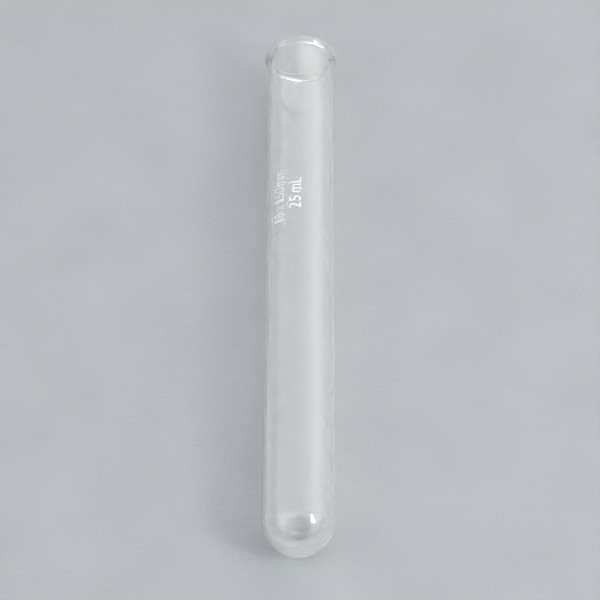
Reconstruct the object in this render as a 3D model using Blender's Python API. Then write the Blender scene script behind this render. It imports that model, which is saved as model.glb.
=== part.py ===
"""Round-bottomed laboratory test tube, nominal 18 x 150 mm, lying on its side.

Units are metres, +Z is up. The tube lies along +Y with its mouth at +Y and
rests on the surface z = 0 on two places: the round end of the body and the
beaded lip. Because the lip is wider than the body, the axis rises slightly
towards the mouth. The frame's origin is the middle of the footprint, on the
resting surface.

The glass is one single piece: the body, the round bottom and the thick round
bead of the fire-polished lip are drawn from one length of tubing, with no seam between
them. The only other material on the tube is the white enamel that is fired
onto its outside, one separate deposit for each printed character.
"""

from math import asin, atan2, cos, degrees, hypot, pi, radians, sin, tan

import bmesh
import bpy
from mathutils import Vector

MM = 0.001

# ---- driving dimensions, millimetres ----------------------------------------
BODY_OD = 18.0          # outside diameter of the body
LENGTH = 150.0          # overall length, round end to lip face
WALL = 1.2              # wall of the body
BOTTOM_WALL = 2.2       # the round end is thicker than the wall
LIP_OD = 20.1           # outside diameter of the beaded lip
LIP_CROWN = 1.1         # where the lip is widest, back from the lip face
BEAD_R = 1.1            # radius of the back of the bead, seen from the side
FLARE_ANGLE = 42.0      # steepest slope of the lip's back, degrees
MOUTH_D = 16.2          # clear diameter just inside the bead
RIM_FLAT_IN = 17.70     # the narrow flat ring on the lip face, inside diameter
RIM_FLAT_OUT = 18.30    # and its outside diameter
EDGE = 1.3              # how far back the bead's inner edge is rounded
MOUTH_ANGLE = 14.0      # slope of the short funnel between the bead and the bore, degrees
ROLL_R = 4.0            # radius of the roll from that funnel into the bore
SIDES = 32              # flats round the axis; each touches the true circle

# ---- the printed marks --------------------------------------------------------
CAP_HEIGHT = 3.1        # height of a numeral, measured round the body
PRINT_BASE = 0.06       # clearance from the true outside of the glass
PRINT_THICK = 0.06      # thickness of the fired enamel
# (node name, character, width in mm, space before it in mm)
SIZE_MARK = (
    ("size_mark_numeral_1", "1", 0.85, 0.00),
    ("size_mark_numeral_8", "8", 1.50, 0.45),
    ("size_mark_times", "x", 1.30, 1.00),
    ("size_mark_numeral_1_second", "1", 0.85, 1.15),
    ("size_mark_numeral_5", "5", 1.45, 0.50),
    ("size_mark_numeral_0", "0", 1.50, 0.35),
    ("size_mark_letter_m", "m", 2.15, 0.45),
    ("size_mark_letter_m_second", "m", 2.15, 0.40),
)
SIZE_MARK_START = 90.0      # first character, from the round end
SIZE_MARK_ANGLE = 27.6      # base line, degrees from the top towards -X
VOLUME_MARK = (
    ("volume_mark_numeral_2", "2", 1.60, 0.00),
    ("volume_mark_numeral_5", "5", 1.60, 0.50),
    ("volume_mark_letter_m", "m", 2.40, 1.20),
    ("volume_mark_letter_l", "L", 1.35, 0.60),
)
VOLUME_MARK_START = 93.6
VOLUME_MARK_ANGLE = -1.6

# ---- derived --------------------------------------------------------------------
R_BODY = BODY_OD / 2
R_BORE = R_BODY - WALL
R_LIP = LIP_OD / 2
# distances along the axis are counted from the centre of the round end
END = LENGTH - R_BODY                  # lip face
CROWN = END - LIP_CROWN                # widest ring of the lip
FLARE = radians(FLARE_ANGLE)
HOLLOW_R = (R_LIP - R_BODY) / (1 - cos(FLARE)) - BEAD_R    # hollow curve behind the bead
NECK = CROWN - (HOLLOW_R + BEAD_R) * sin(FLARE)            # where it leaves the body
# the tilt at which the round end and the lip both touch z = 0
TILT = atan2(R_LIP, CROWN) - asin(R_BODY / hypot(CROWN, R_LIP))
FRONT = END * cos(TILT) + RIM_FLAT_OUT / 2 * sin(TILT)
Y_ROUND_END = (R_BODY - FRONT) / 2     # puts the footprint's middle at y = 0


def clear_scene():
    for ob in list(bpy.data.objects):
        bpy.data.objects.remove(ob, do_unlink=True)


def arc(cy, cr, ry, rr, a0, a1, n):
    """n + 1 points of an ellipse in the (axis, radius) plane, from a0 to a1 degrees."""
    out = []
    for i in range(n + 1):
        a = radians(a0 + (a1 - a0) * i / n)
        out.append((cy + ry * cos(a), cr + rr * sin(a)))
    return out


def tube_profile():
    """(distance along the axis, radius) from the outer pole, round the lip, to the inner pole."""
    pts = arc(0, 0, R_BODY, R_BODY, 180, 90, 9)
    for part in (0.25, 0.5, 0.75, 1.0):
        pts.append((NECK * part, R_BODY))
    # a hollow curve out of the body, then over the back of the bead to its widest ring
    for i in range(1, 5):
        a = FLARE * i / 4
        pts.append((NECK + HOLLOW_R * sin(a), R_BODY + HOLLOW_R * (1 - cos(a))))
    for i in range(1, 4):
        a = FLARE * (1 - i / 3)
        pts.append((CROWN - BEAD_R * sin(a), R_LIP - BEAD_R * (1 - cos(a))))
    # over the bead to the narrow flat ring on the lip face, and across it
    pts += arc(CROWN, RIM_FLAT_OUT / 2, END - CROWN, R_LIP - RIM_FLAT_OUT / 2, 90, 0, 4)[1:]
    # round the inner edge, as far as it takes to reach the funnel's slope
    r_in, r_mouth = RIM_FLAT_IN / 2, MOUTH_D / 2
    slope = radians(MOUTH_ANGLE)
    turn = degrees(atan2(tan(slope) * EDGE, r_in - r_mouth))
    pts += arc(END - EDGE, r_in, EDGE, r_mouth - r_in, 0, 90 + turn, 6)
    # the short funnel, then a roll into the bore
    y0, r0 = pts[-1]
    roll = min(ROLL_R, (r0 - R_BORE) / (1 - cos(slope)))
    straight = (r0 - R_BORE - roll * (1 - cos(slope))) / sin(slope)
    y1, r1 = y0 - straight * cos(slope), r0 - straight * sin(slope)
    if straight > 0.05:
        pts.append((y1, r1))
    y2 = y1 - roll * sin(slope)
    for i in range(1, 4):
        a = slope * (1 - i / 3)
        pts.append((y2 + roll * sin(a), R_BORE + roll * (1 - cos(a))))
    for part in (0.75, 0.5, 0.25):
        pts.append((y2 * part, R_BORE))
    pts += arc(0, 0, R_BODY - BOTTOM_WALL, R_BORE, 90, 180, 8)
    return pts


def face_outwards(bm):
    """Every face of a closed body turned to face out."""
    bmesh.ops.recalc_face_normals(bm, faces=bm.faces)
    if bm.calc_volume(signed=True) < 0:
        bmesh.ops.reverse_faces(bm, faces=bm.faces)


def turned_solid(name, profile, sides):
    """A closed solid turned round the Y axis. Both ends of the profile lie on the axis."""
    bm = bmesh.new()
    out = 1 / cos(pi / sides)  # corners outside the circle, so that each flat touches it
    rings = []
    for y, r in profile:
        if r < 1e-6:
            rings.append([bm.verts.new(Vector((0, y, 0)) * MM)])
            continue
        ring = []
        for i in range(sides):
            a = 2 * pi * (i + 0.5) / sides
            ring.append(bm.verts.new(Vector((r * out * sin(a), y, r * out * cos(a))) * MM))
        rings.append(ring)
    for a, b in zip(rings, rings[1:]):
        for i in range(sides):
            j = (i + 1) % sides
            if len(a) == 1:
                bm.faces.new((a[0], b[i], b[j]))
            elif len(b) == 1:
                bm.faces.new((a[i], b[0], a[j]))
            else:
                bm.faces.new((a[i], b[i], b[j], a[j]))
    face_outwards(bm)
    me = bpy.data.meshes.new(name)
    bm.to_mesh(me)
    bm.free()
    me.shade_smooth()
    me.set_sharp_from_angle(angle=radians(40))
    return me


def character_mesh(name, character, width, start, base_angle):
    """One enamel character: a flat outline, made solid and wrapped round the body.

    The line of print runs along the axis towards the mouth, and each character
    stands up round the body, towards -X.
    """
    cu = bpy.data.curves.new(name + "_outline", "FONT")
    cu.body = character
    cu.size = 1.0
    cu.extrude = 0.5
    cu.resolution_u = 3
    tmp = bpy.data.objects.new(name + "_outline", cu)
    bpy.context.scene.collection.objects.link(tmp)
    dg = bpy.context.evaluated_depsgraph_get()
    me = bpy.data.meshes.new_from_object(tmp.evaluated_get(dg))
    bpy.data.objects.remove(tmp, do_unlink=True)
    bpy.data.curves.remove(cu)

    bm = bmesh.new()
    bm.from_mesh(me)
    bpy.data.meshes.remove(me)
    bmesh.ops.remove_doubles(bm, verts=bm.verts, dist=1e-5)
    lo = Vector([min(v.co[k] for v in bm.verts) for k in range(3)])
    hi = Vector([max(v.co[k] for v in bm.verts) for k in range(3)])
    tall = CAP_HEIGHT
    if character in "xm":
        tall *= 0.74  # the small letters
    scale = Vector((width / (hi.x - lo.x), tall / (hi.y - lo.y), PRINT_THICK / (hi.z - lo.z)))
    for v in bm.verts:
        v.co = Vector([(v.co[k] - lo[k]) * scale[k] for k in range(3)])
    # cut the long strokes, so that they can follow the curve of the glass
    step = 0.5
    for i in range(1, int(tall / step) + 1):
        bmesh.ops.bisect_plane(
            bm,
            geom=bm.verts[:] + bm.edges[:] + bm.faces[:],
            dist=1e-6,
            plane_co=(0, i * step, 0),
            plane_no=(0, 1, 0),
        )
    bmesh.ops.triangulate(bm, faces=bm.faces)
    for v in bm.verts:
        along, up, out = v.co
        a = radians(base_angle) + up / R_BODY
        r = R_BODY + PRINT_BASE + out
        v.co = Vector((-r * sin(a), start - R_BODY + along, r * cos(a))) * MM
    face_outwards(bm)
    out_mesh = bpy.data.meshes.new(name)
    bm.to_mesh(out_mesh)
    bm.free()
    out_mesh.shade_smooth()
    out_mesh.set_sharp_from_angle(angle=radians(30))
    return out_mesh


def principled(name, colour, roughness, transmission=0.0, ior=1.5):
    mat = bpy.data.materials.new(name)
    mat.use_nodes = True
    bsdf = mat.node_tree.nodes["Principled BSDF"]
    bsdf.inputs["Base Color"].default_value = (*colour, 1)
    bsdf.inputs["Roughness"].default_value = roughness
    bsdf.inputs["Metallic"].default_value = 0.0
    bsdf.inputs["IOR"].default_value = ior
    bsdf.inputs["Transmission Weight"].default_value = transmission
    mat.diffuse_color = (*colour, 0.35 if transmission else 1)
    return mat


def add(name, mesh, material, parent):
    ob = bpy.data.objects.new(name, mesh)
    bpy.context.scene.collection.objects.link(ob)
    mesh.materials.append(material)
    ob.parent = parent
    return ob


def main():
    clear_scene()
    glass = principled("borosilicate_glass", (0.90, 0.95, 0.93), 0.02, 1.0, 1.474)
    enamel = principled("white_enamel", (0.93, 0.93, 0.90), 0.45)

    # the tube's own axis: its centre of rotation is the centre of the round end
    axis = bpy.data.objects.new("tube_axis", None)
    bpy.context.scene.collection.objects.link(axis)
    axis.location = (0, Y_ROUND_END * MM, R_BODY * MM)
    axis.rotation_euler = (TILT, 0, 0)

    add("glass_tube", turned_solid("glass_tube", tube_profile(), SIDES), glass, axis)

    for marks, start, base_angle in (
        (SIZE_MARK, SIZE_MARK_START, SIZE_MARK_ANGLE),
        (VOLUME_MARK, VOLUME_MARK_START, VOLUME_MARK_ANGLE),
    ):
        at = start
        for name, character, width, space in marks:
            at += space
            add(name, character_mesh(name, character, width, at, base_angle), enamel, axis)
            at += width

    bpy.context.view_layer.update()


main()
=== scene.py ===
"""The looks of a round-bottomed test tube lying on its side on a pale surface.

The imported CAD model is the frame. The faceted glass and the plain print of the
CAD are each replaced by a fine piece of the same size in the same place.
"""

from math import asin, atan2, cos, degrees, hypot, pi, radians, sin, tan

import bmesh
import bpy
from mathutils import Matrix, Vector, noise


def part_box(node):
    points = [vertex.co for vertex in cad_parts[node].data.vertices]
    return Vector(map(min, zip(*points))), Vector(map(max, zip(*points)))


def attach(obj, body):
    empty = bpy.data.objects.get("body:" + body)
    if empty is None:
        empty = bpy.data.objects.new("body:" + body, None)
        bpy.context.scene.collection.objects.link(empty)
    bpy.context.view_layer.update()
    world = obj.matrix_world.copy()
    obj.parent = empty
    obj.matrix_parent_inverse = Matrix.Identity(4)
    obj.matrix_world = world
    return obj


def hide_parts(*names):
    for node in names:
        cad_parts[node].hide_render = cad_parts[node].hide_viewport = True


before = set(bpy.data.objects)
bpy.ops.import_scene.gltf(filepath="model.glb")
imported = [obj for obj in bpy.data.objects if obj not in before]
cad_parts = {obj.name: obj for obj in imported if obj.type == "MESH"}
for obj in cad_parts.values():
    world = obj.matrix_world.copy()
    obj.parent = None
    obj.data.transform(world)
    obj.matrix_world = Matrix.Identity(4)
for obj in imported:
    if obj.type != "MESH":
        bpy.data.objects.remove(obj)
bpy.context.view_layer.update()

MM = 0.001

# ---- the tube's dimensions, millimetres, as in the CAD --------------------------
BODY_OD = 18.0
LENGTH = 150.0
WALL = 1.2
BOTTOM_WALL = 2.2
LIP_OD = 20.1
LIP_CROWN = 1.1
FLARE_ANGLE = radians(42)
BEAD_R = 1.1
MOUTH_D = 16.2
RIM_D = 18.0
EDGE = 1.3
MOUTH_ANGLE = radians(14)
ROLL_R = 4.0
CAP_HEIGHT = 3.1

R_BODY = BODY_OD / 2
R_BORE = R_BODY - WALL
R_LIP = LIP_OD / 2
END = LENGTH - R_BODY
CROWN = END - LIP_CROWN
HOLLOW_R = (R_LIP - R_BODY) / (1 - cos(FLARE_ANGLE)) - BEAD_R
NECK = CROWN - (HOLLOW_R + BEAD_R) * sin(FLARE_ANGLE)
R_MOUTH = MOUTH_D / 2
R_RIM = RIM_D / 2
# where the rounded edge has turned as far as the mouth's funnel
EDGE_TURN = atan2(tan(MOUTH_ANGLE) * EDGE, R_RIM - R_MOUTH)
TILT = atan2(R_LIP, CROWN) - asin(R_BODY / hypot(CROWN, R_LIP))
# the centre of the round end, from the CAD glass's own box
GLASS_LO, GLASS_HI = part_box("glass_tube")
ORIGIN = Vector((0.0, GLASS_LO.y + R_BODY * MM, R_BODY * MM))
TO_WORLD = Matrix.Translation(ORIGIN) @ Matrix.Rotation(TILT, 4, "X")

BODY = "root"

# ---- the light, as radiance (red, green, blue) -----------------------------------
# a shaded wall on the left, one broad soft panel on the right, an even room in front
FAR_ROOM = (
    (-95, (0.3, 0.3, 0.3)),
    (-65, (0.65, 0.65, 0.65)),
    (-40, (0.3, 0.33, 0.35)),
    (-14, (0.45, 0.5, 0.55)),
    (5, (1.35, 1.35, 1.35)),
    (20, (1.95, 1.85, 1.85)),
    (60, (1.5, 1.45, 1.45)),
    (95, (0.6, 0.6, 0.6)),
)
NEAR_ROOM = (
    (-90, (1.35, 1.4, 1.45)),
    (90, (2.2, 2.2, 2.2)),
)
LOW_ROOM = (
    (-90, (0.05, 0.05, 0.05)),
    (90, (0.05, 0.05, 0.05)),
)
DIM = (1.4, 1.4, 1.4)
LAMP = (18.0, 18.2, 18.5)
DIM_ELEV = 41.0
DIM_SIZE = (0.62, 0.60)
LAMP_DIR = (0.70, -0.36, 0.62)
LAMP_SIZE = (0.20, 0.26)


# ---- node helpers ------------------------------------------------------------------
def new_material(name):
    mat = bpy.data.materials.new(name)
    mat.use_nodes = True
    nt = mat.node_tree
    nt.nodes.clear()
    out = nt.nodes.new("ShaderNodeOutputMaterial")
    bsdf = nt.nodes.new("ShaderNodeBsdfPrincipled")
    nt.links.new(bsdf.outputs[0], out.inputs["Surface"])
    return mat, nt, bsdf, out


def coords(nt, scale=(1, 1, 1)):
    tc = nt.nodes.new("ShaderNodeTexCoord")
    mp = nt.nodes.new("ShaderNodeMapping")
    mp.inputs["Scale"].default_value = scale
    nt.links.new(tc.outputs["Object"], mp.inputs["Vector"])
    return mp.outputs["Vector"]


def noise_tex(nt, vector, scale, detail=3.0, roughness=0.55, distortion=0.0):
    n = nt.nodes.new("ShaderNodeTexNoise")
    n.inputs["Scale"].default_value = scale
    n.inputs["Detail"].default_value = detail
    n.inputs["Roughness"].default_value = roughness
    n.inputs["Distortion"].default_value = distortion
    nt.links.new(vector, n.inputs["Vector"])
    return n.outputs["Fac"]


def remap(nt, fac, lo, hi, a=0.0, b=1.0):
    m = nt.nodes.new("ShaderNodeMapRange")
    m.inputs["From Min"].default_value = lo
    m.inputs["From Max"].default_value = hi
    m.inputs["To Min"].default_value = a
    m.inputs["To Max"].default_value = b
    m.clamp = True
    nt.links.new(fac, m.inputs["Value"])
    return m.outputs["Result"]


def math_node(nt, op, a, b):
    m = nt.nodes.new("ShaderNodeMath")
    m.operation = op
    for k, v in enumerate((a, b)):
        if isinstance(v, (int, float)):
            m.inputs[k].default_value = v
        else:
            nt.links.new(v, m.inputs[k])
    return m.outputs[0]


def mix_colour(nt, fac, a, b):
    m = nt.nodes.new("ShaderNodeMix")
    m.data_type = "RGBA"
    nt.links.new(fac, m.inputs["Factor"])
    for key, v in ((6, a), (7, b)):
        if isinstance(v, tuple):
            m.inputs[key].default_value = (*v, 1)
        else:
            nt.links.new(v, m.inputs[key])
    return m.outputs[2]


def bump(nt, height, strength, distance, normal=None):
    b = nt.nodes.new("ShaderNodeBump")
    b.inputs["Strength"].default_value = strength
    b.inputs["Distance"].default_value = distance
    nt.links.new(height, b.inputs["Height"])
    if normal is not None:
        nt.links.new(normal, b.inputs["Normal"])
    return b.outputs["Normal"]


# ---- materials ------------------------------------------------------------------------
def glass_material():
    """Clear borosilicate: drawn lengthwise, fire-polished, with a breath of haze and dust."""
    mat, nt, bsdf, out = new_material("borosilicate_glass")
    bsdf.inputs["Base Color"].default_value = (1, 1, 1, 1)
    bsdf.inputs["Transmission Weight"].default_value = 0.97
    bsdf.inputs["IOR"].default_value = 1.474
    bsdf.inputs["Sheen Weight"].default_value = 0.25
    bsdf.inputs["Sheen Roughness"].default_value = 0.6
    # a handled tube: very faint smears along it
    smear = noise_tex(nt, coords(nt, (1, 0.18, 1)), 160, 4, 0.6, 0.4)
    haze = remap(nt, smear, 0.52, 0.78, 0.0, 0.035)
    nt.links.new(haze, bsdf.inputs["Roughness"])
    # drawing lines: ripples a fraction of a millimetre wide that run the tube's length
    lines = noise_tex(nt, coords(nt, (1, 0.006, 1)), 900, 2, 0.5)
    swell = noise_tex(nt, coords(nt, (1, 0.25, 1)), 120, 2, 0.5)
    height = math_node(nt, "ADD", math_node(nt, "MULTIPLY", lines, 0.35), swell)
    nt.links.new(bump(nt, height, 0.12, 0.00006), bsdf.inputs["Normal"])
    vol = nt.nodes.new("ShaderNodeVolumeAbsorption")
    vol.inputs["Color"].default_value = (0.75, 0.97, 0.60, 1)
    vol.inputs["Density"].default_value = 12.0
    nt.links.new(vol.outputs[0], out.inputs["Volume"])
    return mat


def enamel_material():
    """Fired white ceramic ink: satin, finely grained, thinner and greyer in places."""
    mat, nt, bsdf, out = new_material("white_enamel")
    at = coords(nt)
    grain = noise_tex(nt, at, 9000, 3, 0.6)
    patch = noise_tex(nt, at, 1400, 2, 0.5)
    thin = math_node(nt, "MULTIPLY", remap(nt, patch, 0.35, 0.7), remap(nt, grain, 0.3, 0.75))
    nt.links.new(
        mix_colour(nt, thin, (0.82, 0.82, 0.80), (0.62, 0.63, 0.63)), bsdf.inputs["Base Color"]
    )
    nt.links.new(remap(nt, grain, 0.3, 0.7, 0.34, 0.6), bsdf.inputs["Roughness"])
    nt.links.new(bump(nt, grain, 0.5, 0.00002), bsdf.inputs["Normal"])
    return mat


def floor_material():
    """Pale grey card: even, with a fine tooth and a trace of mottling."""
    mat, nt, bsdf, out = new_material("pale_card")
    at = coords(nt)
    tooth = noise_tex(nt, at, 2200, 4, 0.6)
    fibre = noise_tex(nt, at, 1100, 3, 0.6)
    cloud = noise_tex(nt, at, 45, 2, 0.5)
    shade = math_node(
        nt, "ADD", math_node(nt, "MULTIPLY", fibre, 0.5), math_node(nt, "MULTIPLY", cloud, 0.5)
    )
    nt.links.new(
        mix_colour(nt, remap(nt, shade, 0.3, 0.7), (0.318, 0.331, 0.340), (0.357, 0.370, 0.381)),
        bsdf.inputs["Base Color"],
    )
    bsdf.inputs["Roughness"].default_value = 0.9
    bsdf.inputs["Specular IOR Level"].default_value = 0.15
    nt.links.new(bump(nt, tooth, 0.25, 0.00008), bsdf.inputs["Normal"])
    return mat


# ---- the glass ----------------------------------------------------------------------------
def arc(cy, cr, ry, rr, a0, a1, n):
    out = []
    for i in range(n + 1):
        a = radians(a0 + (a1 - a0) * i / n)
        out.append((cy + ry * cos(a), cr + rr * sin(a)))
    return out


def profile():
    """(distance along the axis, radius) from the outer pole, round the lip, to the inner pole."""
    pts = arc(0, 0, R_BODY, R_BODY, 180, 90, 40)
    n = 44
    for i in range(1, n + 1):
        pts.append((NECK * i / n, R_BODY))
    # a hollow curve out of the body, then over the back of the bead to its widest ring
    for i in range(1, 11):
        a = FLARE_ANGLE * i / 10
        pts.append((NECK + HOLLOW_R * sin(a), R_BODY + HOLLOW_R * (1 - cos(a))))
    for i in range(1, 11):
        a = FLARE_ANGLE * (1 - i / 10)
        pts.append((CROWN - BEAD_R * sin(a), R_LIP - BEAD_R * (1 - cos(a))))
    # over the end of the bead and into the mouth
    pts += arc(CROWN, R_RIM, END - CROWN, R_LIP - R_RIM, 90, 0, 12)[1:]
    pts += arc(END - EDGE, R_RIM, EDGE, R_MOUTH - R_RIM, 0, 90 + degrees(EDGE_TURN), 14)[1:]
    # a straight funnel, then a gentle roll into the bore
    y0, r0 = pts[-1]
    roll = min(ROLL_R, (r0 - R_BORE) / (1 - cos(MOUTH_ANGLE)))
    straight = (r0 - R_BORE - roll * (1 - cos(MOUTH_ANGLE))) / sin(MOUTH_ANGLE)
    y1 = y0 - straight * cos(MOUTH_ANGLE)
    r1 = r0 - straight * sin(MOUTH_ANGLE)
    if straight > 0.01:
        pts.append((y1, r1))
    y2 = y1 - roll * sin(MOUTH_ANGLE)
    for i in range(1, 13):
        a = MOUTH_ANGLE * (1 - i / 12)
        pts.append((y2 + roll * sin(a), R_BORE + roll * (1 - cos(a))))
    for i in range(1, n):
        pts.append((y2 * (1 - i / n), R_BORE))
    pts += arc(0, 0, R_BODY - BOTTOM_WALL, R_BORE, 90, 180, 40)
    return pts


def glass_piece(material):
    sides = 224
    pts = profile()
    bm = bmesh.new()
    rings = []
    inner_from = max(range(len(pts)), key=lambda k: pts[k][0])
    for k, (y, r) in enumerate(pts):
        if r < 1e-6:
            rings.append([bm.verts.new(Vector((0, y, 0)) * MM)])
            continue
        ring = []
        for i in range(sides):
            a = 2 * pi * i / sides
            rr = r
            if k > inner_from:
                # the bore is not perfectly true: long, shallow cords left by the drawing
                p = Vector((cos(a) * 2.2, sin(a) * 2.2, y * 0.012 + 7.3))
                q = Vector((cos(a) * 7.0, sin(a) * 7.0, y * 0.004 + 1.9))
                fade = min(1.0, r / R_BORE)
                rr = r + fade * (0.030 * noise.noise(p) + 0.006 * noise.noise(q))
            ring.append(bm.verts.new(Vector((rr * sin(a), y, rr * cos(a))) * MM))
        rings.append(ring)
    for a, b in zip(rings, rings[1:]):
        for i in range(sides):
            j = (i + 1) % sides
            if len(a) == 1:
                bm.faces.new((a[0], b[i], b[j]))
            elif len(b) == 1:
                bm.faces.new((a[i], b[0], a[j]))
            else:
                bm.faces.new((a[i], b[i], b[j], a[j]))
    bmesh.ops.recalc_face_normals(bm, faces=bm.faces)
    if bm.calc_volume(signed=True) < 0:
        bmesh.ops.reverse_faces(bm, faces=bm.faces)
    me = bpy.data.meshes.new("clear_glass_tube")
    bm.to_mesh(me)
    bm.free()
    me.shade_smooth()
    me.transform(TO_WORLD)
    me.materials.append(material)
    ob = bpy.data.objects.new("clear_glass_tube", me)
    bpy.context.scene.collection.objects.link(ob)
    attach(ob, BODY)
    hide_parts("glass_tube")
    return ob


# ---- the print ----------------------------------------------------------------------------
# (CAD node, character, width in mm, space before it in mm)
SIZE_MARK = (
    ("size_mark_numeral_1", "1", 0.85, 0.00),
    ("size_mark_numeral_8", "8", 1.50, 0.45),
    ("size_mark_times", "x", 1.30, 1.00),
    ("size_mark_numeral_1_second", "1", 0.85, 1.15),
    ("size_mark_numeral_5", "5", 1.45, 0.50),
    ("size_mark_numeral_0", "0", 1.50, 0.35),
    ("size_mark_letter_m", "m", 2.15, 0.45),
    ("size_mark_letter_m_second", "m", 2.15, 0.40),
)
SIZE_MARK_START = 90.0
SIZE_MARK_ANGLE = 27.6
VOLUME_MARK = (
    ("volume_mark_numeral_2", "2", 1.60, 0.00),
    ("volume_mark_numeral_5", "5", 1.60, 0.50),
    ("volume_mark_letter_m", "m", 2.40, 1.20),
    ("volume_mark_letter_l", "L", 1.35, 0.60),
)
VOLUME_MARK_START = 93.6
VOLUME_MARK_ANGLE = -1.6
PRINT_BASE = 0.008
PRINT_THICK = 0.022


def character_piece(node, character, width, start, base_angle, material):
    """A fired character: a thin, slightly uneven film wrapped round the glass."""
    cu = bpy.data.curves.new(node + "_outline", "FONT")
    cu.body = character
    cu.size = 1.0
    cu.extrude = 0.5
    cu.offset = -0.004
    cu.resolution_u = 8
    tmp = bpy.data.objects.new(node + "_outline", cu)
    bpy.context.scene.collection.objects.link(tmp)
    dg = bpy.context.evaluated_depsgraph_get()
    src = bpy.data.meshes.new_from_object(tmp.evaluated_get(dg))
    bpy.data.objects.remove(tmp, do_unlink=True)
    bpy.data.curves.remove(cu)
    bm = bmesh.new()
    bm.from_mesh(src)
    bpy.data.meshes.remove(src)
    bmesh.ops.remove_doubles(bm, verts=bm.verts, dist=1e-5)
    lo = Vector([min(v.co[k] for v in bm.verts) for k in range(3)])
    hi = Vector([max(v.co[k] for v in bm.verts) for k in range(3)])
    tall = CAP_HEIGHT * (0.74 if character in "xm" else 1.0)
    size = (width, tall, PRINT_THICK)
    for v in bm.verts:
        v.co = Vector([(v.co[k] - lo[k]) / (hi[k] - lo[k]) * size[k] for k in range(3)])
    for axis, span, step in ((1, tall, 0.16), (0, width, 0.16)):
        normal = [0, 0, 0]
        normal[axis] = 1
        for i in range(1, int(span / step) + 1):
            at = [0, 0, 0]
            at[axis] = i * step
            bmesh.ops.bisect_plane(
                bm,
                geom=bm.verts[:] + bm.edges[:] + bm.faces[:],
                dist=1e-6,
                plane_co=at,
                plane_no=normal,
            )
    bmesh.ops.triangulate(bm, faces=bm.faces)
    seed = sum(ord(c) for c in node)
    for v in bm.verts:
        along, up, out = v.co
        # the screened edge is a little ragged
        p = Vector((along * 5 + seed, up * 5, 0))
        along += 0.014 * noise.noise(p)
        up += 0.014 * noise.noise(p + Vector((31, 7, 3)))
        a = radians(base_angle) + up / R_BODY
        r = R_BODY + PRINT_BASE + out
        v.co = Vector((-r * sin(a), start - R_BODY + along, r * cos(a))) * MM
    bmesh.ops.recalc_face_normals(bm, faces=bm.faces)
    if bm.calc_volume(signed=True) < 0:
        bmesh.ops.reverse_faces(bm, faces=bm.faces)
    me = bpy.data.meshes.new("enamel_" + node)
    bm.to_mesh(me)
    bm.free()
    me.shade_smooth()
    me.set_sharp_from_angle(angle=radians(30))
    me.transform(TO_WORLD)
    me.materials.append(material)
    ob = bpy.data.objects.new("enamel_" + node, me)
    bpy.context.scene.collection.objects.link(ob)
    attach(ob, BODY)
    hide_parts(node)
    return ob


# ---- the stage ------------------------------------------------------------------------------
def build_floor():
    bm = bmesh.new()
    bmesh.ops.create_grid(bm, x_segments=8, y_segments=8, size=3.0)
    me = bpy.data.meshes.new("floor")
    bm.to_mesh(me)
    bm.free()
    me.materials.append(floor_material())
    ob = bpy.data.objects.new("floor", me)
    ob.location = (0, 0, -0.00002)
    bpy.context.scene.collection.objects.link(ob)
    return ob


def aim(ob, target):
    ob.rotation_euler = (Vector(target) - ob.location).to_track_quat("-Z", "Y").to_euler()


def area(name, location, target, size, radiance, colour, shape="RECTANGLE"):
    """An area light given by its radiance, which is what shows in a reflection."""
    li = bpy.data.lights.new(name, "AREA")
    li.shape = shape
    li.size, li.size_y = size
    li.color = colour
    area_m2 = size[0] * size[1] * (pi / 4 if shape in ("DISK", "ELLIPSE") else 1)
    li.energy = radiance * pi * area_m2
    ob = bpy.data.objects.new(name, li)
    ob.location = location
    bpy.context.scene.collection.objects.link(ob)
    aim(ob, target)
    return ob


def direction_mask(nt, d, axis, up, half_w, half_h, soft):
    """1 inside an ellipse of directions round axis, 0 outside, with a soft edge."""
    side = Vector(up).cross(Vector(axis)).normalized()

    def dot(v):
        n = nt.nodes.new("ShaderNodeVectorMath")
        n.operation = "DOT_PRODUCT"
        nt.links.new(d, n.inputs[0])
        n.inputs[1].default_value = tuple(v)
        return n.outputs["Value"]

    u = math_node(nt, "DIVIDE", dot(side), half_w)
    v = math_node(nt, "DIVIDE", dot(up), half_h)
    r = math_node(
        nt, "SQRT", math_node(nt, "ADD", math_node(nt, "MULTIPLY", u, u), math_node(nt, "MULTIPLY", v, v)), 0
    )
    inside = remap(nt, r, 1 - soft, 1 + soft, 1.0, 0.0)
    ahead = remap(nt, dot(axis), 0.0, 0.05)
    return math_node(nt, "MULTIPLY", inside, ahead)


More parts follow.
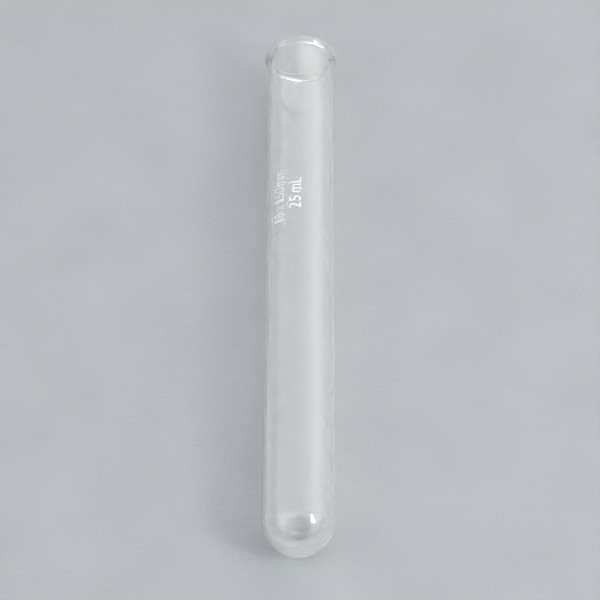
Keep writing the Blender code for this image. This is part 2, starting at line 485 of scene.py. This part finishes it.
def build_lights():
    """A pale room, given by direction. The far half goes by the angle across the tube. The
    near half goes by that angle above, and by the compass angle close to the horizon, with a
    dim patch over it. One compact lamp stands at the front right."""
    world = bpy.data.worlds.new("studio")
    bpy.context.scene.world = world
    world.use_nodes = True
    nt = world.node_tree
    bg = nt.nodes["Background"]
    d = nt.nodes.new("ShaderNodeTexCoord").outputs["Generated"]
    xyz = nt.nodes.new("ShaderNodeSeparateXYZ")
    nt.links.new(d, xyz.inputs[0])
    x, y, z = (xyz.outputs[k] for k in "XYZ")
    across = math_node(nt, "ARCTAN2", x, z)
    compass = math_node(nt, "ARCTAN2", x, math_node(nt, "MULTIPLY", y, -1.0))

    def ramp(angle, stops):
        r = nt.nodes.new("ShaderNodeValToRGB")
        nt.links.new(remap(nt, angle, radians(-100), radians(100)), r.inputs[0])
        cr = r.color_ramp
        cr.interpolation = "LINEAR"
        cr.elements.remove(cr.elements[1])
        for k, (at, colour) in enumerate(stops):
            at = (at + 100) / 200
            if k == 0:
                e = cr.elements[0]
                e.position = at
            else:
                e = cr.elements.new(at)
            e.color = (*colour, 1)
        return r.outputs[0]

    near = mix_colour(nt, remap(nt, z, 0.15, 0.35), ramp(compass, LOW_ROOM), ramp(across, NEAR_ROOM))
    room = mix_colour(nt, remap(nt, y, -0.15, 0.15), near, ramp(across, FAR_ROOM))
    patch = direction_mask(
        nt, d, (0, -cos(radians(DIM_ELEV)), sin(radians(DIM_ELEV))),
        (0, sin(radians(DIM_ELEV)), cos(radians(DIM_ELEV))), *DIM_SIZE, 0.05,
    )
    less = nt.nodes.new("ShaderNodeVectorMath")
    less.operation = "MULTIPLY"
    less.inputs[0].default_value = DIM
    nt.links.new(patch, less.inputs[1])
    minus = nt.nodes.new("ShaderNodeVectorMath")
    minus.operation = "SUBTRACT"
    nt.links.new(room, minus.inputs[0])
    nt.links.new(less.outputs[0], minus.inputs[1])
    nt.links.new(minus.outputs[0], bg.inputs["Color"])
    bg.inputs["Strength"].default_value = 1.26

    top = max(LAMP)
    if top > 0:
        area(
            "lamp", Vector(LAMP_DIR).normalized() * 0.95, (0, 0, 0), LAMP_SIZE,
            top, tuple(c / top for c in LAMP), "ELLIPSE",
        )


def build_camera():
    cam = bpy.data.cameras.new("camera")
    cam.sensor_width = 36.0
    cam.lens = 1950.7 / 600 * 36.0
    cam.clip_start = 0.02
    cam.clip_end = 20
    ob = bpy.data.objects.new("camera", cam)
    bpy.context.scene.collection.objects.link(ob)
    ob.rotation_mode = "ZYX"
    ob.rotation_euler = (0.5461, -0.0003, 0.0046)
    ob.location = (0.0, -0.26493, 0.43870)
    bpy.context.scene.camera = ob
    return ob


def main():
    build_camera()
    build_lights()
    build_floor()
    glass_piece(glass_material())
    enamel = enamel_material()
    for marks, start, base_angle in (
        (SIZE_MARK, SIZE_MARK_START, SIZE_MARK_ANGLE),
        (VOLUME_MARK, VOLUME_MARK_START, VOLUME_MARK_ANGLE),
    ):
        at = start
        for node, character, width, space in marks:
            at += space
            character_piece(node, character, width, at, base_angle, enamel)
            at += width

    scene = bpy.context.scene
    # light has to reach the floor through two clear walls, unblurred
    scene.cycles.blur_glossy = 0.0
    scene.cycles.sample_clamp_indirect = 0.0
    scene.cycles.max_bounces = 64
    scene.cycles.transmission_bounces = 64
    scene.view_settings.view_transform = "Standard"
    scene.view_settings.look = "None"

    bpy.context.view_layer.update()


main()
